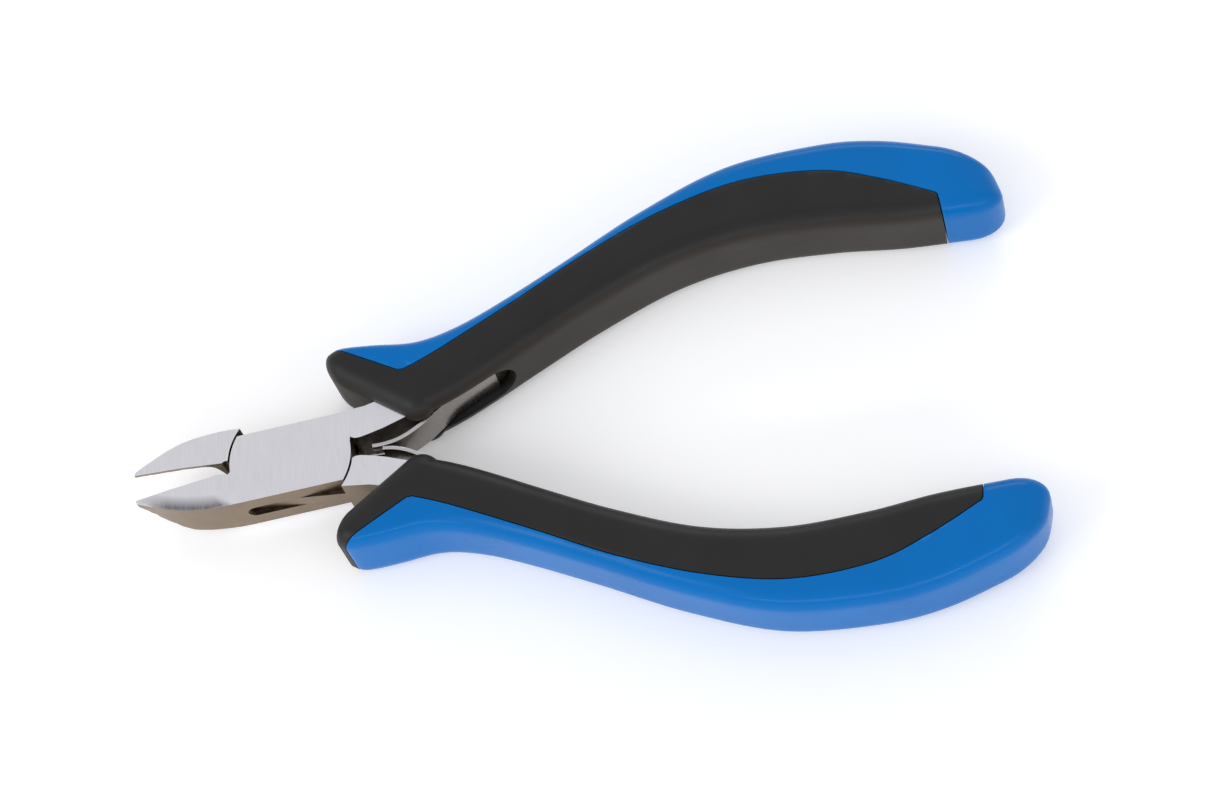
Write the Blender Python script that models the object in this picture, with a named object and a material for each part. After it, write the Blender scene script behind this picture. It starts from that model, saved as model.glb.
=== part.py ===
"""Compact diagonal cutting pliers, held open by two leaf springs.

Two forged halves cross in a slotted joint: the slotted half carries the lower
jaw, two cheeks and the upper tang, the inner half carries the upper jaw, a thin
web that turns inside the slot and the lower tang.  Each tang sits in a
two-material grip: a hard outer shell and a soft inner inlay with a pocket for
the leaf spring.

Outlines are written in millimetres about the pivot, for a half with its jaw
shut, jaws towards -X, and become metres when the meshes are made.
"""
import math

import bmesh
import bpy
from mathutils import Matrix, Vector

# ---------------------------------------------------------------- driving sizes
MM = 0.001
GRIP_THICK = 10.8
STEEL_THICK = 7.0
HALF_OPEN_DEG = 5.25
PIVOT_FROM_CENTRE = 36.78

CHEEK_RADIUS = 8.0
WEB_RADIUS = 7.9
SHOULDER_RADIUS = 8.28
SLOT_RADIUS = 8.45
SLOT_THICK = 2.3
WEB_THICK = 2.1
PIN_RADIUS = 2.1
PIN_HOLE_RADIUS = 2.2

JAW_TIP = (-21.25, 0.15)
JAW_ROOT = (-9.05, 0.05)

CORNER_ROUND = 2.4
NOSE_ROUND = 2.3
NOSE_REACH = 2.7
NOSE_TAPER = 0.5
TAIL_ROUND = 3.4
TAIL_REACH = 5.2
SEAM_GAP = 0.1
CHANNEL_GAP = 0.12
POCKET_WIDTH = 6.0
POCKET_END = 29.4

SPRING_WIDTH = 5.0
SPRING_THICK = 0.5
TONGUE_WIDTH = 2.0
FORK_WIDTH = 2.6
SPRING_RIVET_X = 26.0

ARC_STEPS = 10
ROUND_STEPS = 4

# ------------------------------------------------------------------- outlines
# Outer side of a jaw, tip to joint, measured out from the cutting line.
JAW_BACK = [(-21.0, 0.4), (-18.0, 2.05), (-15.2, 3.3), (-11.5, 4.2), (-8.9, 4.52)]
# Sides of the joint: the one under the jaw, then the one over it.
FLAT_BELOW = [(-7.2, -4.6), (6.4, -4.9)]
FLAT_ABOVE = [(6.6, 4.55), (-6.4, 4.8)]
# Front face of the jaws, ground down towards the tip: (x, height over centre).
JAW_FALL = [(-8.2, 3.6), (-9.3, 3.38), (-11.6, 3.17), (-14.8, 2.86), (-18.0, 2.32), (-21.9, 1.6)]
# Bevel behind the cutting edge: (x, height at the edge, steepness).
JAW_BEVEL = [(-23.0, 0.85, 1.0), (-21.3, 1.15, 1.1), (-19.7, 1.42, 1.25), (-18.9, 1.56, 1.5)]
JAW_BEVEL += [(-18.0, 1.72, 1.58), (-16.5, 2.0, 1.7), (-14.8, 2.32, 1.7), (-13.0, 2.52, 1.56)]
JAW_BEVEL += [(-11.4, 2.64, 1.48), (-10.5, 2.4, 1.45), (-9.95, 1.5, 1.45), (-9.5, 0.2, 1.45)]
JAW_BEVEL += [(-9.2, -1.6, 1.45)]

# Tang, both sides, from the joint to its buried end.
TANG_INNER = [(8.15, 0.85), (8.6, 0.5), (9.3, 0.42), (12.5, 0.9), (15.7, 1.7), (29.3, 7.1)]
TANG_INNER += [(32.0, 8.2), (42.6, 12.6), (53.3, 15.8), (62.0, 16.9)]
TANG_OUTER = [(62.0, 20.1), (53.6, 18.9), (42.9, 15.8), (32.2, 11.4), (26.8, 9.2), (21.4, 7.4)]
TANG_OUTER += [(16.1, 5.95), (13.0, 5.1), (10.6, 4.62)]

# Grip stations: a point on the inner side and its partner on the outer side.
GRIP_STATIONS = [
    ((19.4, 1.9), (6.9, 12.8)),
    ((20.2, 2.1), (8.6, 13.35)),
    ((21.6, 2.5), (12.6, 12.8)),
    ((24.0, 3.3), (18.3, 11.75)),
    ((28.0, 4.85), (23.5, 12.3)),
    ((33.5, 7.1), (29.5, 14.1)),
    ((42.4, 10.55), (39.0, 17.7)),
    ((53.1, 13.7), (50.5, 22.3)),
    ((63.5, 14.5), (62.5, 25.6)),
    ((73.7, 13.3), (74.8, 25.5)),
    ((82.5, 11.5), (82.6, 23.9)),
    ((91.4, 10.3), (89.6, 21.0)),
]

# Seam between shell and inlay: nose line, the long run, then the step inwards.
SEAM_NOSE = [(4.0, 15.75), (16.3, 7.4)]
SEAM_RUN = [(16.3, 7.4), (21.5, 9.0), (32.3, 13.2), (43.1, 17.6), (53.7, 20.8), (64.2, 22.2)]
SEAM_RUN += [(74.4, 20.8), (81.5, 17.6), (88.2, 13.5)]
SEAM_END = [(88.2, 5.0), (5.0, -12.0)]

# Leaf spring centre line, from its riveted root to its tip.
SPRING_PATH = [(27.6, 6.05), (25.2, 5.08), (22.5, 3.95), (20.9, 3.1), (19.3, 2.0), (17.6, 0.85)]
SPRING_PATH += [(15.7, -0.1), (13.8, -0.68), (12.0, -0.82), (10.8, -0.74), (9.9, -0.5)]


# ----------------------------------------------------------------- scene set-up
for old in list(bpy.data.objects):
    bpy.data.objects.remove(old, do_unlink=True)

pliers = bpy.data.collections.new("diagonal_cutting_pliers")
bpy.context.scene.collection.children.link(pliers)
cutters = bpy.data.collections.new("cutters")
bpy.context.scene.collection.children.link(cutters)


def material(name, colour, roughness, metallic):
    mat = bpy.data.materials.new(name)
    mat.use_nodes = True
    shader = mat.node_tree.nodes["Principled BSDF"]
    shader.inputs["Base Color"].default_value = (*colour, 1.0)
    shader.inputs["Roughness"].default_value = roughness
    shader.inputs["Metallic"].default_value = metallic
    return mat


ground_steel = material("ground_steel", (0.62, 0.61, 0.59), 0.32, 1.0)
spring_steel = material("spring_steel", (0.70, 0.68, 0.64), 0.22, 1.0)
rivet_steel = material("rivet_steel", (0.60, 0.59, 0.57), 0.35, 1.0)
blue_shell = material("blue_shell", (0.0, 0.165, 0.50), 0.38, 0.0)
black_inlay = material("black_inlay", (0.032, 0.032, 0.036), 0.62, 0.0)


# ---------------------------------------------------------------- 2-D geometry
def arc(radius, start, end, steps=ARC_STEPS):
    """Points on a circle about the pivot, angles in degrees."""
    points = []
    for i in range(steps + 1):
        a = math.radians(start + (end - start) * i / steps)
        points.append((radius * math.cos(a), radius * math.sin(a)))
    return points


def smooth(points, steps):
    """Catmull-Rom curve through the points."""
    ends = [points[0]] + list(points) + [points[-1]]
    result = []
    for i in range(1, len(ends) - 2):
        p = [Vector(q) for q in ends[i - 1:i + 3]]
        for k in range(steps):
            t = k / steps
            q = 0.5 * (2 * p[1] + (p[2] - p[0]) * t
                       + (2 * p[0] - 5 * p[1] + 4 * p[2] - p[3]) * t * t
                       + (3 * p[1] - p[0] - 3 * p[2] + p[3]) * t ** 3)
            result.append(tuple(q))
    result.append(tuple(points[-1]))
    return result


def grown(outline, gap):
    """A closed counter-clockwise outline moved outwards by the gap."""
    count = len(outline)
    result = []
    for i in range(count):
        before, here, after = (Vector(outline[(i + k) % count]) for k in (-1, 0, 1))
        d1 = (here - before).normalized()
        d2 = (after - here).normalized()
        n1 = Vector((d1.y, -d1.x))
        n2 = Vector((d2.y, -d2.x))
        mitre = (n1 + n2) / max(0.3, 1.0 + n1.dot(n2))
        result.append(tuple(here + mitre * gap))
    return result


def ribbon(path, thickness):
    """Closed outline of a strip that follows the path."""
    left = []
    right = []
    for i, point in enumerate(path):
        ahead = Vector(path[min(i + 1, len(path) - 1)])
        behind = Vector(path[max(i - 1, 0)])
        along = (ahead - behind).normalized()
        side = Vector((-along.y, along.x)) * thickness / 2
        left.append(tuple(Vector(point) + side))
        right.append(tuple(Vector(point) - side))
    return right + left[::-1]


def mirrored(outline, side):
    """The outline for the upper (side 1) or lower (side -1) handle."""
    if side > 0:
        return list(outline)
    return [(x, -y) for x, y in reversed(outline)]


# ---------------------------------------------------------------- 3-D geometry
def link_mesh(name, mesh, parent, mat=None):
    obj = bpy.data.objects.new(name, mesh)
    if mat is None:
        cutters.objects.link(obj)
        obj.hide_render = True
        obj.display_type = "WIRE"
    else:
        pliers.objects.link(obj)
        mesh.materials.append(mat)
    obj.parent = parent
    return obj


def plate(name, outline, low, high, parent, mat=None):
    """A flat plate: a filled 2-D curve given a thickness, then made a mesh."""
    curve = bpy.data.curves.new(name + "_curve", "CURVE")
    curve.dimensions = "2D"
    curve.fill_mode = "BOTH"
    curve.extrude = (high - low) / 2 * MM
    spline = curve.splines.new("POLY")
    spline.points.add(len(outline) - 1)
    for point, (x, y) in zip(spline.points, outline):
        point.co = (x * MM, y * MM, 0.0, 1.0)
    spline.use_cyclic_u = True
    guide = bpy.data.objects.new(name + "_guide", curve)
    bpy.context.scene.collection.objects.link(guide)
    bpy.context.view_layer.update()
    graph = bpy.context.evaluated_depsgraph_get()
    mesh = bpy.data.meshes.new_from_object(guide.evaluated_get(graph))
    bpy.data.objects.remove(guide, do_unlink=True)
    bm = bmesh.new()
    bm.from_mesh(mesh)
    bmesh.ops.remove_doubles(bm, verts=bm.verts, dist=1e-7)
    bmesh.ops.translate(bm, verts=bm.verts, vec=(0.0, 0.0, (low + high) / 2 * MM))
    bmesh.ops.recalc_face_normals(bm, faces=bm.faces)
    bm.to_mesh(mesh)
    bm.free()
    mesh.name = name
    return link_mesh(name, mesh, parent, mat)


def cylinder(name, radius, low, high, parent, mat=None, segments=64):
    """A round bar about the pivot axis."""
    bm = bmesh.new()
    bmesh.ops.create_cone(bm, cap_ends=True, segments=segments, radius1=radius * MM,
                          radius2=radius * MM, depth=(high - low) * MM)
    bmesh.ops.translate(bm, verts=bm.verts, vec=(0.0, 0.0, (low + high) / 2 * MM))
    mesh = bpy.data.meshes.new(name)
    bm.to_mesh(mesh)
    bm.free()
    return link_mesh(name, mesh, parent, mat)


def hull(name, corners, parent):
    """A convex cutter from its corner points."""
    bm = bmesh.new()
    for corner in corners:
        bm.verts.new(Vector(corner) * MM)
    bmesh.ops.convex_hull(bm, input=bm.verts)
    bmesh.ops.recalc_face_normals(bm, faces=bm.faces)
    mesh = bpy.data.meshes.new(name)
    bm.to_mesh(mesh)
    bm.free()
    return link_mesh(name, mesh, parent)


def tube(name, rings, side, parent):
    """A cutter through rings of equal point count, with its ends closed."""
    bm = bmesh.new()
    loops = [[bm.verts.new(Vector((x, side * y, z)) * MM) for x, y, z in ring] for ring in rings]
    for one, two in zip(loops, loops[1:]):
        for i in range(len(one)):
            j = (i + 1) % len(one)
            bm.faces.new((one[i], one[j], two[j], two[i]))
    bm.faces.new(loops[0])
    bm.faces.new(loops[-1][::-1])
    bmesh.ops.triangulate(bm, faces=bm.faces)
    bmesh.ops.recalc_face_normals(bm, faces=bm.faces)
    mesh = bpy.data.meshes.new(name)
    bm.to_mesh(mesh)
    bm.free()
    return link_mesh(name, mesh, parent)


def shape_with(obj, cutter, operation="DIFFERENCE"):
    modifier = obj.modifiers.new(cutter.name, "BOOLEAN")
    modifier.operation = operation
    modifier.solver = "EXACT"
    modifier.object = cutter


# ---------------------------------------------------------------- bodies
def body(name, side):
    """An empty on the pivot axis that carries one half, opened by its share."""
    empty = bpy.data.objects.new(name, None)
    pliers.objects.link(empty)
    empty.location = (-PIVOT_FROM_CENTRE * MM, 0.0, GRIP_THICK / 2 * MM)
    empty.rotation_euler = (0.0, 0.0, side * math.radians(HALF_OPEN_DEG))
    return empty


upper_body = body("slotted_body", 1)
lower_body = body("inner_body", -1)


# ---------------------------------------------------------------- steel halves
def on_circle(one, two, radius):
    """Angle in degrees at which the line from one to two meets the circle."""
    start, way = Vector(one), (Vector(two) - Vector(one)).normalized()
    foot = start.dot(way)
    reach = -foot + math.sqrt(foot * foot - start.length_squared + radius * radius)
    point = start + way * reach
    return math.degrees(math.atan2(point.y, point.x)) % 360


def half_outline(free_radius):
    """A half with its jaw below the cutting line and its tang above it."""
    below = on_circle(*FLAT_BELOW, free_radius) - 360
    above = on_circle(*FLAT_ABOVE, free_radius)
    outline = [JAW_TIP]
    outline += [(x, -y) for x, y in JAW_BACK]
    outline += [FLAT_BELOW[0]]
    outline += arc(free_radius, below, 2.0)
    outline += TANG_INNER + TANG_OUTER
    outline += [FLAT_ABOVE[0]]
    outline += arc(free_radius, above, 179.0)
    outline += [(-8.15, -0.1), (-8.5, -0.22), (-8.9, -0.12), JAW_ROOT]
    return outline


def ground_jaw(obj, side, parent):
    """Slope the front of the jaw and bevel it behind the cutting edge."""
    tag = obj.name
    profile = JAW_FALL + [(-23.0, 0.3), (-23.0, 6.0), (-7.9, 6.0)]
    fall = plate(tag + "_fall", profile, -9.0, 9.0, parent)
    fall.matrix_local = Matrix.Rotation(math.pi / 2, 4, "X")
    shape_with(obj, fall)
    slope = (JAW_TIP[1] - JAW_ROOT[1]) / (JAW_TIP[0] - JAW_ROOT[0])
    rings = []
    for x, z, steep in JAW_BEVEL:
        edge = JAW_ROOT[1] + slope * (x - JAW_ROOT[0])
        near, far = edge + 0.6, edge - 6.5
        rings.append([(x, near, z + 0.6 * steep), (x, far, z - 6.5 * steep),
                      (x, far, -14.0), (x, near, -14.0)])
    shape_with(obj, tube(tag + "_bevel", rings, side, parent))


def bore_for_spring_rivet(obj, side, parent):
    """A blind hole in the tang for the rivet that holds the spring's root."""
    hole = cylinder(obj.name + "_spring_hole", 0.85, -0.5, 1.9, parent, segments=24)
    hole.matrix_local = rivet_frame(side)
    shape_with(obj, hole)


def rivet_frame(side):
    """Axes on the tang's inner face: Z goes into the tang."""
    (x0, y0), (x1, y1) = TANG_INNER[4], TANG_INNER[5]
    slope = math.atan2(y1 - y0, x1 - x0)
    y = y0 + (SPRING_RIVET_X - x0) * math.tan(slope)
    into = Vector((-math.sin(slope), side * math.cos(slope), 0.0))
    along = Vector((math.cos(slope), side * math.sin(slope), 0.0))
    frame = Matrix((along, into.cross(along), into)).transposed().to_4x4()
    frame.translation = Vector((SPRING_RIVET_X, side * y, 0.0)) * MM
    return frame


half = STEEL_THICK / 2
slotted = plate("slotted_half", half_outline(CHEEK_RADIUS), -half, half, upper_body, ground_steel)
slot = cylinder("slot", SLOT_RADIUS, -SLOT_THICK / 2, SLOT_THICK / 2, upper_body)
shape_with(slotted, slot)
pin_hole_slotted = cylinder("pin_hole_slotted", PIN_HOLE_RADIUS, -half - 1, half + 1, upper_body,
                            segments=40)
shape_with(slotted, pin_hole_slotted)
ground_jaw(slotted, 1, upper_body)
bore_for_spring_rivet(slotted, 1, upper_body)

inner = plate("inner_half", mirrored(half_outline(WEB_RADIUS), -1), -half, half, lower_body,
              ground_steel)
front_recess = cylinder("front_recess", SHOULDER_RADIUS, WEB_THICK / 2, half + 1, lower_body)
rear_recess = cylinder("rear_recess", SHOULDER_RADIUS, -half - 1, -WEB_THICK / 2, lower_body)
shape_with(inner, front_recess)
shape_with(inner, rear_recess)
pin_hole_inner = cylinder("pin_hole_inner", PIN_HOLE_RADIUS, -half - 1, half + 1, lower_body,
                          segments=40)
shape_with(inner, pin_hole_inner)
ground_jaw(inner, -1, lower_body)
bore_for_spring_rivet(inner, -1, lower_body)

pivot_rivet = cylinder("pivot_rivet", PIN_RADIUS, -half, half, upper_body, rivet_steel, segments=40)


# ---------------------------------------------------------------- grips
def rounded_section(inner_point, outer_point, half_height, corner):
    """One closed ring of the grip, between its inner and outer side."""
    start = Vector((*inner_point, 0.0))
    across = Vector((*outer_point, 0.0)) - start
    width = across.length
    across.normalize()
    ring = []
    centres = ((width - corner, half_height - corner, 0), (corner, half_height - corner, 90),
               (corner, corner - half_height, 180), (width - corner, corner - half_height, 270))
    for u, z, first in centres:
        for k in range(ROUND_STEPS):
            a = math.radians(first + 90.0 * k / (ROUND_STEPS - 1))
            ring.append(start + across * (u + corner * math.cos(a))
                        + Vector((0.0, 0.0, z + corner * math.sin(a))))
    return ring


def end_rings(last, inner_way, outer_way, reach, radius):
    """Rings that round off an end: each further along the two ways and smaller."""
    inner_point, outer_point = Vector(last[0]), Vector(last[1])
    across = (outer_point - inner_point).normalized()
    square = Vector((-across.y, across.x))
    inner_way = inner_way / abs(inner_way.dot(square))
    outer_way = outer_way / abs(outer_way.dot(square))
    rings = []
    for angle in (30, 60, 84):
        a = math.radians(angle)
        out = reach * math.sin(a)
        inset = radius * (1 - math.cos(a))
        p = inner_point + inner_way * out + across * inset
        q = outer_point + outer_way * out - across * inset
        corner = max(0.6, CORNER_ROUND - inset)
        rings.append(rounded_section(p, q, GRIP_THICK / 2 - inset, corner))
    return rings


def grip_blank(name, side, parent, mat=None):
    """The whole grip as one smooth closed body, round at both ends."""
    inner_rail = smooth([a for a, b in GRIP_STATIONS], 3)
    outer_rail = smooth([b for a, b in GRIP_STATIONS], 3)
    rings = [rounded_section(a, b, GRIP_THICK / 2, CORNER_ROUND)
             for a, b in zip(inner_rail, outer_rail)]
    across = (Vector(outer_rail[0]) - Vector(inner_rail[0])).normalized()
    ahead = Vector((-across.y, across.x))
    drawn_in = ahead - across * NOSE_TAPER
    nose = end_rings((inner_rail[0], outer_rail[0]), ahead, drawn_in, NOSE_REACH, NOSE_ROUND)
    inner_way = (Vector(inner_rail[-1]) - Vector(inner_rail[-2])).normalized()
    outer_way = (Vector(outer_rail[-1]) - Vector(outer_rail[-2])).normalized()
    tail = end_rings((inner_rail[-1], outer_rail[-1]), inner_way, outer_way, TAIL_REACH, TAIL_ROUND)
    rings = nose[::-1] + rings + tail
    bm = bmesh.new()
    loops = []
    for ring in rings:
        loops.append([bm.verts.new(Vector((p.x, side * p.y, p.z)) * MM) for p in ring])
    for one, two in zip(loops, loops[1:]):
        for i in range(len(one)):
            j = (i + 1) % len(one)
            bm.faces.new((one[i], one[j], two[j], two[i]))
    bm.faces.new(loops[0])
    bm.faces.new(loops[-1][::-1])
    bmesh.ops.recalc_face_normals(bm, faces=bm.faces)
    mesh = bpy.data.meshes.new(name)
    bm.to_mesh(mesh)
    bm.free()
    return link_mesh(name, mesh, parent, mat)


def inlay_region():
    """Everything on the inner side of the seam, as a counter-clockwise outline."""
    return (SEAM_NOSE[:1] + smooth(SEAM_RUN, 4) + SEAM_END)[::-1]


def grip(label, side, parent):
    """Outer shell and inner inlay of one handle."""
    reach = GRIP_THICK / 2 + 1
    shell = grip_blank(label + "_grip_shell", side, parent, blue_shell)
    whole = mirrored(grown(inlay_region(), SEAM_GAP / 2), side)
    shape_with(shell, plate(label + "_shell_cut", whole, -reach, reach, parent))

    inlay = grip_blank(label + "_grip_inlay", side, parent, black_inlay)
    kept = mirrored(grown(inlay_region(), -SEAM_GAP / 2), side)
    shape_with(inlay, plate(label + "_inlay_keep", kept, -reach, reach, parent), "INTERSECT")

    tang = TANG_INNER + TANG_OUTER
    channel = mirrored(grown(tang, CHANNEL_GAP), side)
    depth = STEEL_THICK / 2 + CHANNEL_GAP
    shape_with(inlay, plate(label + "_channel", channel, -depth, depth, parent))
    shape_with(inlay, pocket_cutter(label + "_pocket", side, parent))
    return shell, inlay


def pocket_cutter(name, side, parent):
    """The spring's pocket: a slot with a round end, along the tang's inner face."""
    radius = POCKET_WIDTH / 2
    length = POCKET_END - SPRING_RIVET_X + 0.5
    outline = [(-14.0, -radius), (length - radius, -radius)]
    for k in range(1, 8):
        a = math.radians(-90 + 180 * k / 8)
        outline.append((length - radius + radius * math.cos(a), radius * math.sin(a)))
    outline += [(length - radius, radius), (-14.0, radius)]
    cutter = plate(name, outline, -5.0, 0.5, parent)
    cutter.matrix_local = rivet_frame(side)
    return cutter


grip("upper", 1, upper_body)
grip("lower", -1, lower_body)


# ---------------------------------------------------------------- leaf springs
def leaf_spring(name, side, parent):
    path = smooth(SPRING_PATH, 2)
    outline = mirrored(ribbon(path, SPRING_THICK), side)
    spring = plate(name, outline, -SPRING_WIDTH / 2, SPRING_WIDTH / 2, parent, spring_steel)
    hole = cylinder(name + "_hole", 1.0, -2.0, 0.5, parent, segments=24)
    hole.matrix_local = rivet_frame(side)
    shape_with(spring, hole)
    return spring


def tip_block(name, low, high, reach, parent):
    corners = [(x, y, z) for x in (7.0, reach) for y in (-4.0, 4.0) for z in (low, high)]
    return hull(name, corners, parent)


upper_spring = leaf_spring("upper_leaf_spring", 1, upper_body)
fork = FORK_WIDTH / 2
shape_with(upper_spring, tip_block("fork_gap", -fork, fork, 12.4, upper_body))
shape_with(upper_spring, tip_block("fork_trim", -4.0, 4.0, 10.6, upper_body))

lower_spring = leaf_spring("lower_leaf_spring", -1, lower_body)
tongue = TONGUE_WIDTH / 2
shape_with(lower_spring, tip_block("tongue_front", tongue, 4.0, 11.9, lower_body))
shape_with(lower_spring, tip_block("tongue_rear", -4.0, -tongue, 11.9, lower_body))


def spring_rivet(name, side, parent):
    """A small countersunk pin through the spring's root into the tang."""
    profile = [(0.0, 1.7), (0.75, 1.7), (0.75, -0.25), (0.95, -0.55), (0.0, -0.6)]
    mesh = bpy.data.meshes.new(name)
    bm = bmesh.new()
    verts = [bm.verts.new((r * MM, 0.0, z * MM)) for r, z in profile]
    edges = [bm.edges.new(pair) for pair in zip(verts, verts[1:])]
    bmesh.ops.spin(bm, geom=verts + edges, cent=(0.0, 0.0, 0.0), axis=(0.0, 0.0, 1.0),
                   angle=2 * math.pi, steps=24, use_merge=True)
    bmesh.ops.remove_doubles(bm, verts=bm.verts, dist=1e-7)
    bmesh.ops.recalc_face_normals(bm, faces=bm.faces)
    bm.to_mesh(mesh)
    bm.free()
    rivet = link_mesh(name, mesh, parent, rivet_steel)
    rivet.matrix_local = rivet_frame(side)
    return rivet


spring_rivet("upper_spring_rivet", 1, upper_body)
spring_rivet("lower_spring_rivet", -1, lower_body)
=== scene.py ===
"""Look-dev scene for the compact diagonal cutting pliers.

Fine versions of the forged halves, leaf springs and two-material grips are
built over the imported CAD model, in its frame (metres, +X to the handle ends,
+Y to the upper handle, +Z up), and ride on its bodies.  Outlines are written in
millimetres about the pivot for a half with its jaw shut.
"""
import math

import bmesh
import bpy
from mathutils import Matrix, Vector


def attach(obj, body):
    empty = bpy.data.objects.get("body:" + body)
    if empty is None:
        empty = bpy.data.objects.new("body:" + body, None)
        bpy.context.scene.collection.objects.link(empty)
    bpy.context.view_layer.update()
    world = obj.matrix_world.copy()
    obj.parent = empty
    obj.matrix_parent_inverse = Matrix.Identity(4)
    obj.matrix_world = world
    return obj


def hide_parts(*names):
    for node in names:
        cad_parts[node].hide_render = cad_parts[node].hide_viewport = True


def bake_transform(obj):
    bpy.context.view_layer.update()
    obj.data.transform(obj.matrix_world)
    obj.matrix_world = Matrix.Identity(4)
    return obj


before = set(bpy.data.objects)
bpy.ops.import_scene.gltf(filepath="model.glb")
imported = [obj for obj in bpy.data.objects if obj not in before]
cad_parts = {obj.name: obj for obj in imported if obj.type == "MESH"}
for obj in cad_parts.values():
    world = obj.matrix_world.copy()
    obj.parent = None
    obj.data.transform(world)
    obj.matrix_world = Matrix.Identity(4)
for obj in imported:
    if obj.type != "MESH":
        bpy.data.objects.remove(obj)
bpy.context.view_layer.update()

# ---------------------------------------------------------------- driving sizes
# The tool's thickness, how far each half is turned open, and the pivot.
MM = 0.001
GRIP_THICK = 10.8
STEEL_THICK = 7.0
HALF_OPEN = math.radians(5.25)
PIVOT = Vector((-0.03678, 0.0, GRIP_THICK / 2 * MM))

# The slotted joint: cheeks on one half, a thinned web on the other.
CHEEK_RADIUS = 8.0
WEB_RADIUS = 7.9
SHOULDER_RADIUS = 8.28
SLOT_RADIUS = 8.45
SLOT_THICK = 2.3
WEB_THICK = 2.12
ROUND_POINTS = 144

# The pivot pin, hidden under a skin of steel at each end of its blind bore.
PIN_RADIUS = 2.1
PIN_SHORT = 0.2
CHEEK_SKIN = 0.15
CHEEK_BORE_GAP = 0.05
WEB_BORE_GAP = 0.02
PAST = 1.0

# The rounded edges of the steel, the plastic and the springs.
STEEL_EDGE = 0.11
GRIP_EDGE = 0.12
SPRING_EDGE = 0.08
EDGE_SEGMENTS = 2
WELD_REACH = 0.0005

# The ends of the cutting edge.
JAW_TIP = (-21.25, 0.15)
JAW_ROOT = (-9.05, 0.05)

# The grips: how they round off, the seam, and the room for tang and spring.
CORNER_ROUND = 2.4
NOSE_ROUND = 2.3
NOSE_REACH = 2.7
NOSE_TAPER = 0.5
TAIL_ROUND = 3.4
TAIL_REACH = 5.2
SEAM_GAP = 0.16
CHANNEL_GAP = 0.12
POCKET_WIDTH = 6.0
POCKET_END = 29.4

# The leaf springs: a forked tip, which starts at FORK_START, and a tongue that passes it.
SPRING_WIDTH = 5.0
SPRING_THICK = 0.5
TONGUE_WIDTH = 2.0
TONGUE_START = 11.9
FORK_WIDTH = 2.6
FORK_START = 12.4
FORK_END = 10.6
TIP_SIDE = 4.0
TIP_BEYOND = 7.0
SPRING_RIVET_X = 26.0

# What is ground off a jaw's front runs to past the tip; its start bows back at the sides.
GRIND_END = -23.5
GRIND_FLOOR = 0.2
GRIND_TOP = 6.0
GRIND_BOW = 0.02
GRIND_BOW_LIMIT = 4.8
GRIND_STEP = 0.5
BOW_FADES_OUT = -16.0
BOW_FADE_LENGTH = 6.0

# The bevel's cutter reaches this far past the edge, and this far under the jaw.
BEVEL_NEAR = 0.6
BEVEL_FAR = 6.5
BEVEL_UNDER = -14.0

# Where shade is painted dark on the steel, in metres about the pivot: a band round the mid plane
# as far forward as its front limit, and the sides beyond JOINT_EDGE.
SHADE_BAND = 0.0017
SHADE_FRONT = 0.0086
JOINT_EDGE = 0.0079
ROOT_FADE = (0.0118, 0.0105)
# The jaw's back as a parabola, for the painted shade along the outer side of the hollow.
BACK_PEAK = (-7.4, 4.6)
BACK_CURVE = 0.0235
HOLLOW_START = 10.0

# The jaw's back from the tip to the joint, and the flats beside the round cheeks.
JAW_BACK = [(-21.1, 0.3), (-20.0, 0.95), (-18.0, 2.05), (-16.4, 2.8), (-14.6, 3.48)]
JAW_BACK += [(-12.6, 4.0), (-10.6, 4.32), (-8.9, 4.52)]
FLAT_BELOW = [(-7.2, -4.6), (6.4, -4.9)]
FLAT_ABOVE = [(6.6, 4.55), (-6.4, 4.8)]
# Height of the jaw's front along it, for the slotted half and the inner half.
JAW_FALL = [(-9.2, 3.62), (-10.1, 3.49), (-11.0, 3.34), (-12.2, 3.16), (-14.8, 2.84)]
JAW_FALL += [(-18.0, 2.32), (-21.9, 1.6)]
INNER_FALL = [(-7.0, 3.6), (-9.3, 3.38), (-11.6, 3.17), (-14.8, 2.86), (-18.0, 2.32)]
INNER_FALL += [(-21.9, 1.6)]
# The rear bevel: place along the jaw, height at the cutting edge, steepness.
JAW_BEVEL = [(-23.0, 0.85, 1.0), (-21.3, 1.15, 1.1), (-19.7, 1.42, 1.25), (-18.9, 1.56, 1.5)]
JAW_BEVEL += [(-18.0, 1.72, 1.58), (-16.5, 2.0, 1.7), (-14.8, 2.32, 1.7), (-13.0, 2.52, 1.56)]
JAW_BEVEL += [(-12.0, 2.62, 1.52), (-11.4, 2.64, 1.48), (-10.9, 2.58, 1.46), (-10.5, 2.4, 1.45)]
JAW_BEVEL += [(-10.2, 2.0, 1.45), (-9.95, 1.5, 1.45), (-9.7, 0.9, 1.45), (-9.5, 0.2, 1.45)]
JAW_BEVEL += [(-9.35, -0.6, 1.45), (-9.2, -1.6, 1.45)]

# The tang's side towards the other handle, and the side away from it.
TANG_INNER = [(8.15, 0.85), (8.35, 0.65), (8.7, 0.48), (9.3, 0.42), (10.4, 0.55), (12.5, 0.9)]
TANG_INNER += [(15.7, 1.7), (29.3, 7.1), (32.0, 8.2), (42.6, 12.6), (53.3, 15.8), (62.0, 16.9)]
TANG_OUTER = [(62.0, 20.1), (53.6, 18.9), (42.9, 15.8), (32.2, 11.4), (26.8, 9.2), (21.4, 7.4)]
TANG_OUTER += [(16.1, 5.95), (13.0, 5.1), (11.8, 4.82), (10.6, 4.62)]

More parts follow.
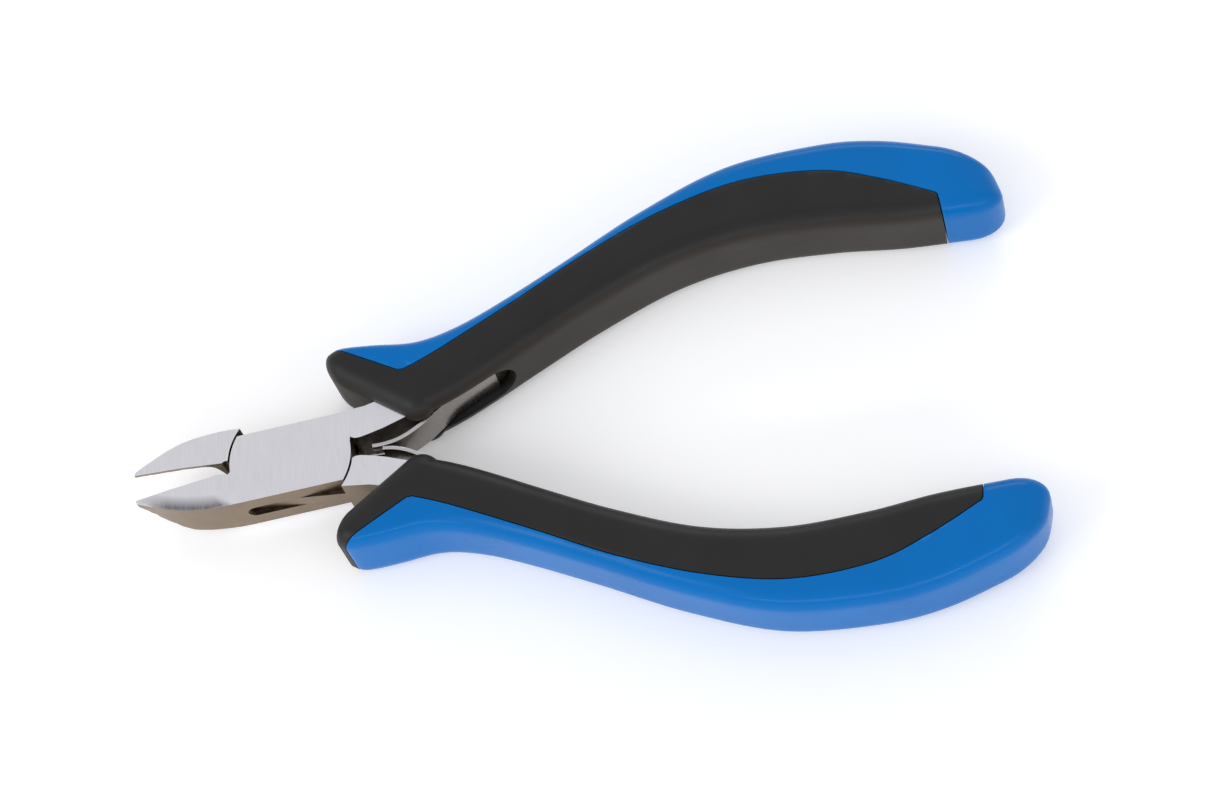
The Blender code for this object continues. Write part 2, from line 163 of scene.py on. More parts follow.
# The grip's sections, each from its inner side to its outer side.
GRIP_STATIONS = [
    ((19.4, 1.9), (6.9, 12.8)),
    ((20.2, 2.1), (8.6, 13.35)),
    ((21.6, 2.5), (12.6, 12.8)),
    ((24.0, 3.3), (18.3, 11.75)),
    ((28.0, 4.85), (23.5, 12.3)),
    ((33.5, 7.1), (29.5, 14.1)),
    ((42.4, 10.55), (39.0, 17.7)),
    ((53.1, 13.7), (50.5, 22.3)),
    ((63.5, 14.5), (62.5, 25.6)),
    ((73.7, 13.3), (74.8, 25.5)),
    ((82.5, 11.5), (82.6, 23.9)),
    ((91.4, 10.3), (89.6, 21.0)),
]
# The seam between shell and inlay, on the grip's front.
SEAM_NOSE = [(4.0, 15.75), (15.9, 7.62)]
SEAM_RUN = [(16.7, 7.5), (21.5, 9.0), (32.3, 13.2), (43.1, 17.6), (53.7, 20.8), (64.2, 22.2)]
SEAM_RUN += [(74.4, 20.8), (81.5, 17.6), (88.0, 13.6)]
SEAM_END = [(88.2, 13.2), (88.2, 5.0), (5.0, -12.0)]

# The spring's middle line, from its riveted root to its tip.
SPRING_PATH = [(27.6, 6.05), (25.2, 5.08), (22.5, 3.95), (20.9, 3.1), (19.3, 2.0), (17.6, 0.85)]
SPRING_PATH += [(15.7, -0.1), (13.8, -0.68), (12.0, -0.82), (10.8, -0.74), (9.9, -0.5)]

# The camera of the photograph: its axes, place, lift along its own up, and lens.
CAMERA_RIGHT = (0.9796, -0.0896, -0.1802)
CAMERA_UP = (0.1588, 0.8942, 0.4185)
CAMERA_PLACE = (0.05942, -0.1944, 0.4032)
CAMERA_LIFT = 0.00031
SENSOR_WIDTH = 36.0
FOCAL_LENGTH = 103.8

# Lamps: name, place, aim, size and power.
LAMPS = [
    ("key", (-0.62, -0.30, 0.60), (0, 0, 0), (0.45, 0.35), 2.0),
    ("fill", (0.70, -0.60, 0.45), (0.02, 0, 0), (0.5, 0.4), 0.5),
    ("rim", (0.20, 0.85, 0.40), (0.02, 0, 0), (0.6, 0.25), 1.6),
    ("strip", (0.05, -0.75, 0.40), (0.02, -0.02, 0), (1.1, 0.10), 1.5),
]
FLOOR_SIZE = 8.0
FLOOR_DROP = 0.00002


# ---------------------------------------------------------------- node helpers
class Nodes:
    """A small helper for building one material's node tree."""

    def __init__(self, name):
        self.mat = bpy.data.materials.new(name)
        self.mat.use_nodes = True
        self.tree = self.mat.node_tree
        self.shader = self.tree.nodes["Principled BSDF"]
        self.coords = self.tree.nodes.new("ShaderNodeTexCoord").outputs["Object"]

    def link(self, source, target):
        self.tree.links.new(source, target)

    def set(self, **values):
        for key, value in values.items():
            self.shader.inputs[key.replace("_", " ")].default_value = value
        return self

    def noise(self, scale, stretch=(1, 1, 1), detail=3.0, rough=0.55):
        mapping = self.tree.nodes.new("ShaderNodeMapping")
        mapping.inputs["Scale"].default_value = stretch
        self.link(self.coords, mapping.inputs["Vector"])
        node = self.tree.nodes.new("ShaderNodeTexNoise")
        node.inputs["Scale"].default_value = scale
        node.inputs["Detail"].default_value = detail
        node.inputs["Roughness"].default_value = rough
        self.link(mapping.outputs["Vector"], node.inputs["Vector"])
        return node.outputs["Fac"]

    def ramp(self, source, low, high, start=0.3, end=0.7):
        node = self.tree.nodes.new("ShaderNodeMapRange")
        node.inputs["From Min"].default_value = start
        node.inputs["From Max"].default_value = end
        node.inputs["To Min"].default_value = low
        node.inputs["To Max"].default_value = high
        self.link(source, node.inputs["Value"])
        return node.outputs["Result"]

    def mix(self, factor, one, two):
        node = self.tree.nodes.new("ShaderNodeMix")
        node.data_type = "RGBA"
        if isinstance(factor, float):
            node.inputs["Factor"].default_value = factor
        else:
            self.link(factor, node.inputs["Factor"])
        for socket, value in (("A", one), ("B", two)):
            target = [s for s in node.inputs if s.name == socket and s.type == "RGBA"][0]
            if isinstance(value, tuple):
                target.default_value = (*value, 1.0)
            else:
                self.link(value, target)
        return [s for s in node.outputs if s.type == "RGBA"][0]

    def math(self, operation, one, two=None):
        node = self.tree.nodes.new("ShaderNodeMath")
        node.operation = operation
        for target, value in zip(node.inputs, (one, two)):
            if value is None:
                continue
            if isinstance(value, (int, float)):
                target.default_value = value
            else:
                self.link(value, target)
        return node.outputs[0]

    def product(self, first, *others):
        for other in others:
            first = self.math("MULTIPLY", first, other)
        return first

    def parts(self, vector):
        """The X, Y and Z sockets of a vector."""
        split = self.tree.nodes.new("ShaderNodeSeparateXYZ")
        self.link(vector, split.inputs[0])
        return split.outputs

    def geometry(self, output):
        return self.tree.nodes.new("ShaderNodeNewGeometry").outputs[output]

    def facing_up(self):
        """1 on faces square to Z, 0 on the sides."""
        tilt = self.math("ABSOLUTE", self.parts(self.geometry("Normal"))["Z"])
        return self.ramp(tilt, 0.0, 1.0, 0.45, 0.8)

    def painted_shade(self, shade):
        """1 where shade is painted: the web's faces in the slot, the shank's inner side and the
        jaw's root.
        """
        place_of, normal = self.parts(self.coords), self.parts(self.geometry("Normal"))
        height = self.math("ABSOLUTE", self.math("SUBTRACT", place_of["Z"], PIVOT.z))
        level = self.math("LESS_THAN", height, SHADE_BAND)
        flat = self.math("GREATER_THAN", self.math("ABSOLUTE", normal["Z"]), 0.7)
        near = self.math("GREATER_THAN", place_of["X"], PIVOT.x - SHADE_FRONT)
        inside = self.product(level, flat, near)
        turned = self.math("MULTIPLY", normal["Y"], -float(shade))
        behind = self.math("GREATER_THAN", place_of["X"], PIVOT.x + JOINT_EDGE)
        shank = self.product(behind, self.math("GREATER_THAN", turned, 0.3))
        fade = self.ramp(place_of["X"], 0.0, 0.8, *(PIVOT.x - f for f in ROOT_FADE))
        jaw = self.product(self.math("LESS_THAN", turned, -0.3),
                           self.math("LESS_THAN", place_of["X"], PIVOT.x - JOINT_EDGE), fade)
        return self.math("MAXIMUM", inside, self.math("MAXIMUM", shank, jaw))

    def hollow(self):
        """1 where shade is painted along the outer side of the ground hollow on the slotted half's
        jaw.
        """
        place_of = self.parts(self.coords)
        x = self.math("MULTIPLY", self.math("SUBTRACT", place_of["X"], PIVOT.x), 1 / MM)
        y = self.math("MULTIPLY", place_of["Y"], 1 / MM)
        c, s = math.cos(HALF_OPEN), math.sin(HALF_OPEN)
        along = self.math("ADD", self.math("MULTIPLY", x, c), self.math("MULTIPLY", y, s))
        across = self.math("SUBTRACT", self.math("MULTIPLY", y, c), self.math("MULTIPLY", x, s))
        bend = self.math("POWER", self.math("SUBTRACT", along, BACK_PEAK[0]), 2.0)
        back = self.math("SUBTRACT", BACK_PEAK[1], self.math("MULTIPLY", bend, BACK_CURVE))
        inset = self.ramp(self.math("ADD", across, back), 1.0, 0.0, 0.3, 2.0)
        cube = self.math("POWER", self.math("ABSOLUTE", across), 3.0)
        bow = self.math("MULTIPLY", cube, GRIND_BOW)
        ahead = self.math("SUBTRACT", self.math("SUBTRACT", bow, HOLLOW_START), along)
        begun = self.ramp(ahead, 0.0, 1.0, -0.1, 1.2)
        tip = self.ramp(along, 0.0, 1.0, -21.0, -17.0)
        front = self.math("GREATER_THAN", self.parts(self.geometry("Normal"))["Z"], 0.6)
        return self.product(inset, begun, front, tip)

    def edges(self):
        """1 on the small rounds between a face and a side."""
        tilt = self.math("ABSOLUTE", self.parts(self.geometry("True Normal"))["Z"])
        low = self.math("GREATER_THAN", tilt, 0.15)
        return self.product(low, self.math("LESS_THAN", tilt, 0.9))

    def edge_wear(self, low, high):
        return self.ramp(self.geometry("Pointiness"), 0.0, 1.0, low, high)

    def bump(self, height, strength, distance):
        node = self.tree.nodes.new("ShaderNodeBump")
        node.inputs["Strength"].default_value = strength
        node.inputs["Distance"].default_value = distance
        self.link(height, node.inputs["Height"])
        return node.outputs["Normal"]


def steel(name, tint, side_shade, roughness, grain=(1.0, 0.03, 1.0), shade=0):
    """Ground steel: fine lines across the tool on the faces; the sides are smoother and painted
    darker and warm as shade and reflection, and the small edge rounds get a painted highlight.

    shade is 1 or -1 for a forged half: the web inside the slot, the inner side of the shank
    and the root of the jaw get painted dark shade with a mottle.  The half with shade 1 also
    has painted shade along the outer side of the ground hollow.
    """
    n = Nodes(name)
    up = n.facing_up()
    lines = n.noise(9000, grain, 3.0, 0.6)
    broad = n.noise(900, (1.0, 0.12, 1.0), 3.0)
    cloud = n.noise(160, (1.0, 1.0, 1.0), 2.0)
    face = n.mix(n.ramp(lines, 0.0, 1.0, 0.3, 0.7), tuple(c * 0.94 for c in tint),
                 tuple(min(1.0, c * 1.03) for c in tint))
    face = n.mix(n.ramp(broad, 0.0, 0.45), face, tuple(c * 0.90 for c in tint))
    # Painted shade and reflection: the sides take the darker, warm side tint.
    side = n.mix(n.ramp(cloud, 0.0, 1.0), side_shade, tuple(c * 0.82 for c in side_shade))
    colour = n.mix(up, side, face)
    # Painted highlight: the small edge rounds are lightened to a warm white.
    colour = n.mix(n.math("MULTIPLY", n.edges(), n.ramp(broad, 0.35, 0.9)), colour,
                   (1.0, 0.94, 0.84))
    base = n.ramp(broad, roughness - 0.02, roughness + 0.04)
    gloss = n.math("ADD", n.ramp(lines, -0.05, 0.05), base)
    if shade > 0:
        # Painted shade along the outer side of the ground hollow.
        depth = n.math("MULTIPLY", n.hollow(), n.ramp(lines, 0.7, 1.0, 0.3, 0.7))
        colour = n.mix(depth, colour, (0.15, 0.145, 0.15))
    if shade:
        # Painted shade, dark with a mottle, in the slot, on the shank's inner side and at the jaw's
        # root.
        dark = n.painted_shade(shade)
        mottle = n.mix(n.ramp(n.noise(900, (1, 1, 1), 4.0), 0.0, 1.0), (0.045, 0.034, 0.024),
                       (0.13, 0.10, 0.075))
        colour = n.mix(dark, colour, mottle)
        gloss = n.math("ADD", gloss, n.math("MULTIPLY", dark, 0.14))
    n.link(colour, n.shader.inputs["Base Color"])
    gloss = n.math("MULTIPLY", gloss, n.ramp(n.edges(), 1.0, 0.4, 0.0, 1.0))
    n.link(gloss, n.shader.inputs["Roughness"])
    n.link(n.bump(lines, 0.16, 0.00002), n.shader.inputs["Normal"])
    return n.set(Metallic=1.0).mat


def plastic(name, colour, deep, roughness, grain_scale, grain_strength, gloss, flank_sheen=None):
    """Moulded plastic: slight tone and gloss variation, fine grain, paler worn edges, and a painted
    sheen on the sides when one is given.
    """
    n = Nodes(name)
    cloud = n.noise(120, (1, 1, 1), 2.0)
    grain = n.noise(grain_scale, (1, 1, 1), 2.0)
    speck = n.noise(2600, (1, 1, 1), 1.0)
    tone = n.mix(n.ramp(cloud, 0.0, 1.0), colour, deep)
    bright = tuple(min(1, c * 1.6 + 0.01) for c in colour)
    tone = n.mix(n.ramp(speck, 0.0, 0.35, 0.72, 0.80), tone, bright)
    # Painted sheen: the sides take a warm brown tone.
    if flank_sheen:
        tone = n.mix(n.facing_up(), flank_sheen, tone)
    pale = tuple(min(1.0, c * 1.25 + 0.01) for c in colour)
    tone = n.mix(n.edge_wear(0.58, 0.72), tone, pale)
    n.link(tone, n.shader.inputs["Base Color"])
    n.link(n.ramp(cloud, roughness - 0.04, roughness + 0.05), n.shader.inputs["Roughness"])
    n.link(n.bump(grain, grain_strength, 0.00004), n.shader.inputs["Normal"])
    n.set(Specular_IOR_Level=gloss)
    return n.mat


# The side tints are painted shade and reflection: the sides darker and warmer than the faces.
FACE_TINT = (0.92, 0.912, 0.935)
SIDE_SHADE = (0.29, 0.22, 0.155)
slotted_steel = steel("slotted_steel_look", FACE_TINT, SIDE_SHADE, 0.33, shade=1)
inner_steel = steel("inner_steel_look", FACE_TINT, SIDE_SHADE, 0.33, shade=-1)
pin_steel = steel("pin_steel_look", FACE_TINT, SIDE_SHADE, 0.33)
spring_steel = steel("spring_steel_look", (0.66, 0.64, 0.62), (0.34, 0.315, 0.29), 0.27,
                     (0.05, 1.0, 1.0))
rivet_steel = steel("rivet_steel_look", (0.60, 0.58, 0.55), (0.42, 0.39, 0.36), 0.34)
blue_shell = plastic("blue_shell_look", (0.0, 0.155, 0.49), (0.0, 0.143, 0.46), 0.24, 1800,
                     0.04, 0.14)
# The inlay's last colour is a painted warm sheen on its sides.
black_inlay = plastic("black_inlay_look", (0.0125, 0.012, 0.012), (0.009, 0.0085, 0.008), 0.50,
                      3600, 0.6, 0.34, (0.026, 0.0205, 0.016))


# ---------------------------------------------------------------- 2-D geometry
def arc(radius, start, end, steps=36):
    angles = [math.radians(start + (end - start) * i / steps) for i in range(steps + 1)]
    return [(radius * math.cos(a), radius * math.sin(a)) for a in angles]


def smooth(points, steps):
    """Catmull-Rom curve through the points."""
    ends = [points[0]] + list(points) + [points[-1]]
    result = []
    for i in range(1, len(ends) - 2):
        p = [Vector(q) for q in ends[i - 1:i + 3]]
        for k in range(steps):
            t = k / steps
            q = 0.5 * (2 * p[1] + (p[2] - p[0]) * t
                       + (2 * p[0] - 5 * p[1] + 4 * p[2] - p[3]) * t * t
                       + (3 * p[1] - p[0] - 3 * p[2] + p[3]) * t ** 3)
            result.append(tuple(q))
    result.append(tuple(points[-1]))
    return result


def grown(outline, gap):
    """A closed counter-clockwise outline moved outwards by the gap."""
    count = len(outline)
    result = []
    for i in range(count):
        before, here, after = (Vector(outline[(i + k) % count]) for k in (-1, 0, 1))
        d1 = (here - before).normalized()
        d2 = (after - here).normalized()
        n1 = Vector((d1.y, -d1.x))
        n2 = Vector((d2.y, -d2.x))
        mitre = (n1 + n2) / max(0.3, 1.0 + n1.dot(n2))
        result.append(tuple(here + mitre * gap))
    return result


def ribbon(path, thickness):
    """The outline of a strip along the path."""
    left = []
    right = []
    for i, point in enumerate(path):
        ahead = Vector(path[min(i + 1, len(path) - 1)])
        behind = Vector(path[max(i - 1, 0)])
        along = (ahead - behind).normalized()
        side = Vector((-along.y, along.x)) * thickness / 2
        left.append(tuple(Vector(point) + side))
        right.append(tuple(Vector(point) - side))
    return right + left[::-1]


def mirrored(outline, side):
    """The outline for the upper (1) or lower (-1) half, still counter-clockwise."""
    if side > 0:
        return list(outline)
    return [(x, -y) for x, y in reversed(outline)]


# ---------------------------------------------------------------- 3-D geometry
def place(side):
    """From a half's own millimetre axes to the frame, at rest."""
    turn = Matrix.Rotation(side * HALF_OPEN, 4, "Z")
    return Matrix.Translation(PIVOT) @ turn @ Matrix.Scale(MM, 4)


def to_object(name, bm):
    bmesh.ops.recalc_face_normals(bm, faces=bm.faces)
    mesh = bpy.data.meshes.new(name)
    bm.to_mesh(mesh)
    bm.free()
    obj = bpy.data.objects.new(name, mesh)
    bpy.context.scene.collection.objects.link(obj)
    return obj


def prism(name, outline, low, high):
    bm = bmesh.new()
    below = [bm.verts.new((x, y, low)) for x, y in outline]
    above = [bm.verts.new((x, y, high)) for x, y in outline]
    count = len(outline)
    bm.faces.new(below[::-1])
    bm.faces.new(above)
    for i in range(count):
        j = (i + 1) % count
        bm.faces.new((below[i], below[j], above[j], above[i]))
    return to_object(name, bm)


def full_circle(radius):
    return arc(radius, 0, 360 * (ROUND_POINTS - 1) / ROUND_POINTS, ROUND_POINTS - 1)


def bar(name, radius, low, high):
    return prism(name, full_circle(radius), low, high)


def wheel(name, radius, half_width):
    """A milling wheel: a disc with a rounded rim."""
    rings = []
    for k in range(-6, 7):
        a = math.radians(15.0 * k)
        reach = radius - half_width * 0.8 * (1 - math.cos(a))
        rings.append([(x, y, half_width * math.sin(a)) for x, y in full_circle(reach)])
    return tube(name, rings)


def tube(name, rings, split=False):
    """A cutter through rings of equal point count, with its ends closed."""
    bm = bmesh.new()
    loops = [[bm.verts.new(point) for point in ring] for ring in rings]
    for one, two in zip(loops, loops[1:]):
        for i in range(len(one)):
            j = (i + 1) % len(one)
            bm.faces.new((one[i], one[j], two[j], two[i]))
    bm.faces.new(loops[0])
    bm.faces.new(loops[-1][::-1])
    if split:
        bmesh.ops.triangulate(bm, faces=bm.faces)
    return to_object(name, bm)


def hull(name, corners):
    bm = bmesh.new()
    for corner in corners:
        bm.verts.new(corner)
    bmesh.ops.convex_hull(bm, input=bm.verts)
    return to_object(name, bm)


def carve(obj, steps, matrix, bevel=0.0, limit=35.0, sharp=32.0, flat=False):
    """Apply the Booleans, soften the edges and put the mesh in the frame.

    Edges over limit degrees are rounded, and those over sharp shade as sharp.
    """
    for operation, cutter in steps:
        modifier = obj.modifiers.new(cutter.name, "BOOLEAN")
        modifier.operation = operation
        modifier.solver = "EXACT"
        modifier.object = cutter
    if bevel:
        weld = obj.modifiers.new("weld", "WELD")
        weld.merge_threshold = WELD_REACH
        soft = obj.modifiers.new("soft edges", "BEVEL")
        soft.width = bevel
        soft.segments = EDGE_SEGMENTS
        soft.limit_method = "ANGLE"
        soft.angle_limit = math.radians(limit)
        soft.use_clamp_overlap = True
    bpy.context.view_layer.update()
    graph = bpy.context.evaluated_depsgraph_get()
    mesh = bpy.data.meshes.new_from_object(obj.evaluated_get(graph))
    for operation, cutter in steps:
        bpy.data.objects.remove(cutter, do_unlink=True)
    name = obj.name
    bpy.data.objects.remove(obj, do_unlink=True)
    mesh.transform(matrix)
    mesh.shade_smooth()
    mesh.set_sharp_from_angle(angle=math.radians(sharp))
    done = bpy.data.objects.new(name, mesh)
    bpy.context.scene.collection.objects.link(done)
    if flat:
        normals = done.modifiers.new("flat faces", "WEIGHTED_NORMAL")
        normals.keep_sharp = True
        normals.weight = 100
    return done


def paint(obj, mat):
    obj.data.materials.clear()
    obj.data.materials.append(mat)


def finish_piece(obj, mat, side, node):
    paint(obj, mat)
    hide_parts(node)
    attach(obj, "slotted_side" if side > 0 else "inner_side")


def rivet_axes(side):
    """Axes on the tang's inner face: Z goes into the tang."""
    (x0, y0), (x1, y1) = TANG_INNER[6], TANG_INNER[7]
    slope = math.atan2(y1 - y0, x1 - x0)
    y = y0 + (SPRING_RIVET_X - x0) * math.tan(slope)
    into = Vector((-math.sin(slope), side * math.cos(slope), 0.0))
    along = Vector((math.cos(slope), side * math.sin(slope), 0.0))
    axes = Matrix((along, into.cross(along), into)).transposed().to_4x4()
    axes.translation = Vector((SPRING_RIVET_X, side * y, 0.0))
    return axes


# ---------------------------------------------------------------- steel halves
def on_circle(one, two, radius):
    """Angle in degrees at which the line from one to two meets the circle."""
    start, way = Vector(one), (Vector(two) - Vector(one)).normalized()
    foot = start.dot(way)
    reach = -foot + math.sqrt(foot * foot - start.length_squared + radius * radius)
    point = start + way * reach
    return math.degrees(math.atan2(point.y, point.x)) % 360


def half_outline(free_radius):
    below = on_circle(*FLAT_BELOW, free_radius) - 360
    above = on_circle(*FLAT_ABOVE, free_radius)
    outline = [JAW_TIP]
    outline += [(x, -y) for x, y in smooth(JAW_BACK, 5)]
    outline += [FLAT_BELOW[0]]
    outline += arc(free_radius, below, 2.0)
    outline += TANG_INNER + TANG_OUTER
    outline += [FLAT_ABOVE[0]]
    outline += arc(free_radius, above, 179.0)
    outline += [(-8.1, -0.06), (-8.3, -0.19), (-8.55, -0.22), (-8.8, -0.15), JAW_ROOT]
    return outline


def ground_cutter(name, fall, bow):
    """What the grinding takes off the front of a jaw: its edge curves back at the sides."""
    profile = smooth(fall, 4)
    profile += [(GRIND_END, GRIND_FLOOR), (GRIND_END, GRIND_TOP), (fall[0][0], GRIND_TOP)]
    shares = [min(1.0, max(0.0, (x - BOW_FADES_OUT) / BOW_FADE_LENGTH)) for x, z in profile]
    rings = []
    for k in range(-14, 15):
        y = k * GRIND_STEP
        shift = bow * GRIND_BOW * min(GRIND_BOW_LIMIT, abs(y)) ** 3
        rings.append([(x + shift * share, y, z) for share, (x, z) in zip(shares, profile)])
    return tube(name, rings)


def jaw_cuts(tag, side):
    """The front grinding and the rear bevel behind the cutting edge."""
    if side > 0:
        fall = ground_cutter(tag + " fall", JAW_FALL, 1.0)
    else:
        fall = ground_cutter(tag + " fall", INNER_FALL, 0.0)
    slope = (JAW_TIP[1] - JAW_ROOT[1]) / (JAW_TIP[0] - JAW_ROOT[0])
    rings = []
    for x, z, steep in JAW_BEVEL:
        edge = JAW_ROOT[1] + slope * (x - JAW_ROOT[0])
        near, far = side * (edge + BEVEL_NEAR), side * (edge - BEVEL_FAR)
        rings.append([(x, near, z + BEVEL_NEAR * steep), (x, far, z - BEVEL_FAR * steep),
                      (x, far, BEVEL_UNDER), (x, near, BEVEL_UNDER)])
    return [("DIFFERENCE", fall), ("DIFFERENCE", tube(tag + " bevel", rings, True))]


half = STEEL_THICK / 2
slotted = prism("slotted_half_fine", half_outline(CHEEK_RADIUS), -half, half)
cuts = [("DIFFERENCE", wheel("slot", SLOT_RADIUS, SLOT_THICK / 2))]
cuts += [("DIFFERENCE", bar("bore", PIN_RADIUS + CHEEK_BORE_GAP, CHEEK_SKIN - half,
                            half - CHEEK_SKIN))]
cuts += jaw_cuts("slotted", 1)
slotted = carve(slotted, cuts, place(1), STEEL_EDGE, flat=True)
finish_piece(slotted, slotted_steel, 1, "slotted_half")

inner = prism("inner_half_fine", mirrored(half_outline(WEB_RADIUS), -1), -half, half)
cuts = [("DIFFERENCE", bar("front recess", SHOULDER_RADIUS, WEB_THICK / 2, half + PAST))]
cuts += [("DIFFERENCE", bar("rear recess", SHOULDER_RADIUS, -half - PAST, -WEB_THICK / 2))]
cuts += [("DIFFERENCE", bar("bore", PIN_RADIUS + WEB_BORE_GAP, -half - PAST, half + PAST))]
cuts += jaw_cuts("inner", -1)
inner = carve(inner, cuts, place(-1), STEEL_EDGE, flat=True)
finish_piece(inner, inner_steel, -1, "inner_half")

pin = bar("pivot_rivet_fine", PIN_RADIUS, PIN_SHORT - half, half - PIN_SHORT)
pin = carve(pin, [], place(1), flat=True)
finish_piece(pin, pin_steel, 1, "pivot_rivet")


# ---------------------------------------------------------------- grips
def rounded_section(inner_point, outer_point, half_height, corner):
    """A closed ring between the grip's inner and outer side, slightly crowned."""
    start = Vector((*inner_point, 0.0))
    across = Vector((*outer_point, 0.0)) - start
    width = across.length
    across.normalize()
    ring = []
    centres = ((width - corner, half_height - corner, 0), (corner, half_height - corner, 90),
               (corner, corner - half_height, 180), (width - corner, corner - half_height, 270))
    for index, (u, z, first) in enumerate(centres):
        for k in range(10):
            a = math.radians(first + 10.0 * k)
            ring.append((u + corner * math.cos(a), z + corner * math.sin(a)))
        after = centres[(index + 1) % 4]
        end = (after[0] + corner * math.cos(math.radians(after[2])),
               after[1] + corner * math.sin(math.radians(after[2])))
        last = ring[-1]
        for k in range(1, 7):
            t = k / 7
            ring.append((last[0] + (end[0] - last[0]) * t, last[1] + (end[1] - last[1]) * t))
    return [start + across * u + Vector((0.0, 0.0, z)) for u, z in ring]


def end_rings(last, inner_way, outer_way, reach, radius, taper=0.0):
    """Rings that round off an end: each further along the two ways and smaller.

    The taper draws the outer side in, little at first and more towards the end.
    """
    inner_point, outer_point = Vector(last[0]), Vector(last[1])
    across = (outer_point - inner_point).normalized()
    square = Vector((-across.y, across.x))
    inner_way = inner_way / abs(inner_way.dot(square))
    outer_way = outer_way / abs(outer_way.dot(square))
    rings = []
    for angle in range(9, 91, 9):
        a = math.radians(min(angle, 86))
        out = reach * math.sin(a)
        inset = radius * (1 - math.cos(a))
        p = inner_point + inner_way * out + across * inset
        q = outer_point + outer_way * out - across * (inset + taper * out * out / reach)
        corner = max(0.8, CORNER_ROUND - inset * 0.75)
        rings.append(rounded_section(p, q, GRIP_THICK / 2 - inset, corner))
    return rings


def grip_blank(name, side):
    """The whole grip, shell and inlay in one, lofted through its sections."""
    inner_rail = smooth([a for a, b in GRIP_STATIONS], 9)
    outer_rail = smooth([b for a, b in GRIP_STATIONS], 9)
    rings = [rounded_section(a, b, GRIP_THICK / 2, CORNER_ROUND)
             for a, b in zip(inner_rail, outer_rail)]
    across = (Vector(outer_rail[0]) - Vector(inner_rail[0])).normalized()
    ahead = Vector((-across.y, across.x))
    nose = end_rings((inner_rail[0], outer_rail[0]), ahead, ahead, NOSE_REACH, NOSE_ROUND,
                     NOSE_TAPER)
    inner_way = (Vector(inner_rail[-1]) - Vector(inner_rail[-2])).normalized()
    outer_way = (Vector(outer_rail[-1]) - Vector(outer_rail[-2])).normalized()
    tail = end_rings((inner_rail[-1], outer_rail[-1]), inner_way, outer_way, TAIL_REACH, TAIL_ROUND)
    rings = nose[::-1] + rings + tail
    bm = bmesh.new()
    loops = []
    for ring in rings:
        loops.append([bm.verts.new((p.x, side * p.y, p.z)) for p in ring])
    for one, two in zip(loops, loops[1:]):
        for i in range(len(one)):
            j = (i + 1) % len(one)
            bm.faces.new((one[i], one[j], two[j], two[i]))
    for loop in (loops[0], loops[-1]):
        centre = sum((v.co for v in loop), Vector()) / len(loop)
        hub = bm.verts.new(centre)
        for i in range(len(loop)):
            bm.faces.new((loop[i], loop[(i + 1) % len(loop)], hub))
    return to_object(name, bm)


def inlay_region():
    """What lies on the inlay's side of the seam, seen from the front."""
    return (SEAM_NOSE + smooth(SEAM_RUN, 6) + SEAM_END)[::-1]


def pocket(name, side):
    """The spring's pocket in the inlay, with a round end."""
    radius = POCKET_WIDTH / 2
    length = POCKET_END - SPRING_RIVET_X + 0.5
    outline = [(-14.0, -radius)]
    for k in range(0, 25):
        a = math.radians(-90 + 180 * k / 24)
        outline.append((length - radius + radius * math.cos(a), radius * math.sin(a)))
    outline += [(-14.0, radius)]
    cutter = prism(name, outline, -5.0, 0.5)
    cutter.matrix_world = rivet_axes(side)
    return cutter


for label, side in (("upper", 1), ("lower", -1)):
    reach = GRIP_THICK / 2 + PAST
    shell = grip_blank(label + "_shell_fine", side)
    region = mirrored(grown(inlay_region(), SEAM_GAP / 2), side)
    shell = carve(shell, [("DIFFERENCE", prism("region", region, -reach, reach))], place(side),
                  GRIP_EDGE, 38, 30)
    finish_piece(shell, blue_shell, side, label + "_grip_shell")

    inlay = grip_blank(label + "_inlay_fine", side)
    region = mirrored(grown(inlay_region(), -SEAM_GAP / 2), side)
    channel = mirrored(grown(TANG_INNER + TANG_OUTER, CHANNEL_GAP), side)
    depth = half + CHANNEL_GAP
    cuts = [("INTERSECT", prism("region", region, -reach, reach))]
    cuts += [("DIFFERENCE", prism("channel", channel, -depth, depth))]
    cuts += [("DIFFERENCE", pocket("pocket", side))]
    inlay = carve(inlay, cuts, place(side), GRIP_EDGE, 38, 30)
    finish_piece(inlay, black_inlay, side, label + "_grip_inlay")


# ---------------------------------------------------------------- leaf springs
def tip_block(name, low, high, start):
    """A block over the spring's tip: from low to high, and from start to past the tip."""
    return hull(name, [(x, y, z) for x in (TIP_BEYOND, start) for y in (-TIP_SIDE, TIP_SIDE)
                       for z in (low, high)])


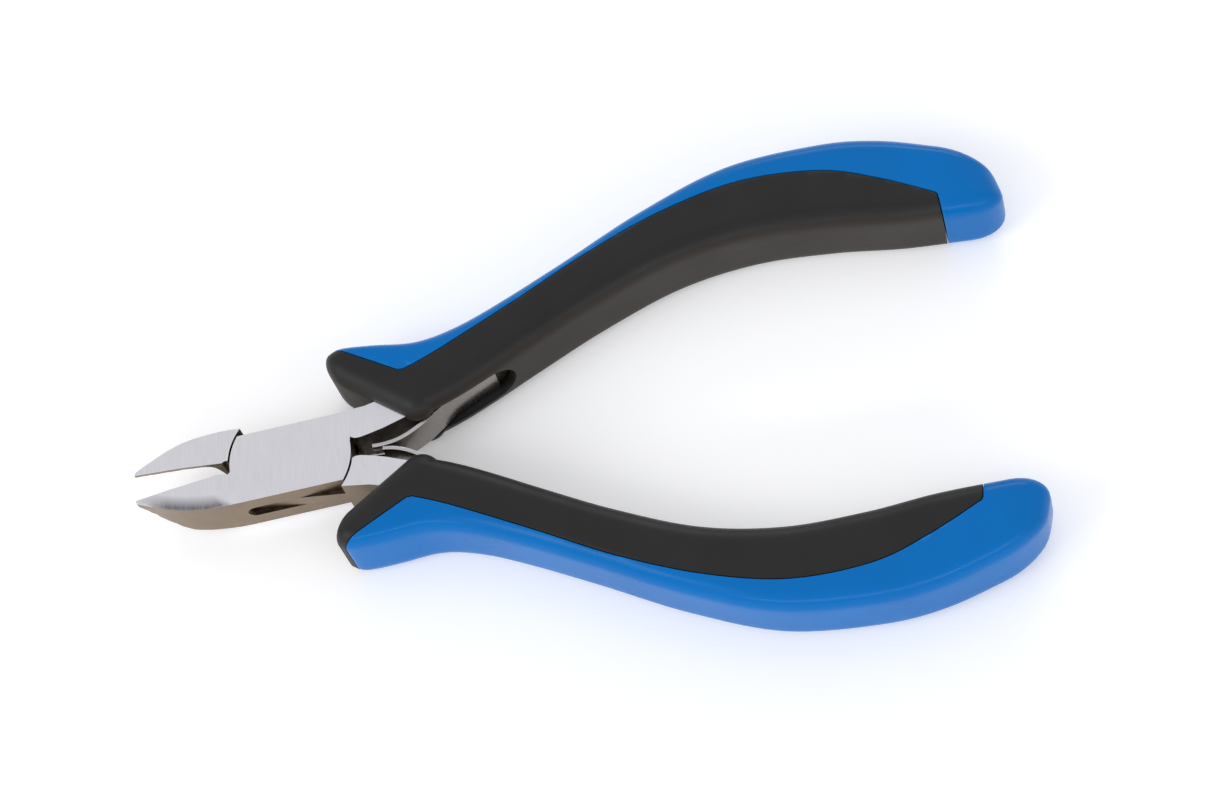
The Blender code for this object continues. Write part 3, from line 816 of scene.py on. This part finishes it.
for label, side in (("upper", 1), ("lower", -1)):
    outline = mirrored(ribbon(smooth(SPRING_PATH, 8), SPRING_THICK), side)
    leaf = prism(label + "_leaf_fine", outline, -SPRING_WIDTH / 2, SPRING_WIDTH / 2)
    if side > 0:
        cuts = [("DIFFERENCE", tip_block("gap", -FORK_WIDTH / 2, FORK_WIDTH / 2, FORK_START))]
        cuts += [("DIFFERENCE", tip_block("trim", -TIP_SIDE, TIP_SIDE, FORK_END))]
    else:
        cuts = [("DIFFERENCE", tip_block("front", TONGUE_WIDTH / 2, TIP_SIDE, TONGUE_START))]
        cuts += [("DIFFERENCE", tip_block("rear", -TIP_SIDE, -TONGUE_WIDTH / 2, TONGUE_START))]
    leaf = carve(leaf, cuts, place(side), SPRING_EDGE, 40, 35)
    paint(leaf, spring_steel)
    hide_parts(label + "_leaf_spring")
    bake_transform(leaf)

for name in ("upper_spring_rivet", "lower_spring_rivet"):
    paint(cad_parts[name], rivet_steel)


# ---------------------------------------------------------------- stage
def floor_material():
    n = Nodes("pale_floor")
    tone = n.mix(n.ramp(n.noise(6.0), 0.0, 1.0), (0.93, 0.93, 0.93), (0.90, 0.90, 0.90))
    n.link(tone, n.shader.inputs["Base Color"])
    n.link(tone, n.shader.inputs["Emission Color"])
    return n.set(Roughness=0.9, Specular_IOR_Level=0.1, Emission_Strength=0.26).mat


bpy.ops.mesh.primitive_plane_add(size=FLOOR_SIZE, location=(0, 0, -FLOOR_DROP))
floor = bpy.context.object
floor.name = "floor"
floor.data.materials.append(floor_material())


def area(name, location, target, size, power):
    data = bpy.data.lights.new(name, "AREA")
    data.shape = "RECTANGLE"
    data.size, data.size_y = size
    data.energy = power
    light = bpy.data.objects.new(name, data)
    bpy.context.scene.collection.objects.link(light)
    light.location = location
    aim = Vector(target) - Vector(location)
    light.rotation_euler = aim.to_track_quat("-Z", "Y").to_euler()


for lamp in LAMPS:
    area(*lamp)

world = bpy.data.worlds.new("studio")
bpy.context.scene.world = world
world.use_nodes = True
background = world.node_tree.nodes["Background"]
background.inputs["Color"].default_value = (0.95, 0.96, 1.0, 1.0)
background.inputs["Strength"].default_value = 0.68

# ---------------------------------------------------------------- camera
right, up = Vector(CAMERA_RIGHT), Vector(CAMERA_UP)
back = right.cross(up).normalized()
up = back.cross(right).normalized()
right.normalize()
lens = bpy.data.cameras.new("camera")
lens.sensor_fit = "HORIZONTAL"
lens.sensor_width = SENSOR_WIDTH
lens.lens = FOCAL_LENGTH
lens.clip_start = 0.02
lens.clip_end = 30.0
camera = bpy.data.objects.new("camera", lens)
bpy.context.scene.collection.objects.link(camera)
axes = Matrix((right, up, back)).transposed().to_4x4()
camera.matrix_world = Matrix.Translation(Vector(CAMERA_PLACE) + up * CAMERA_LIFT) @ axes
bpy.context.scene.camera = camera
bpy.context.scene.view_settings.view_transform = "Standard"
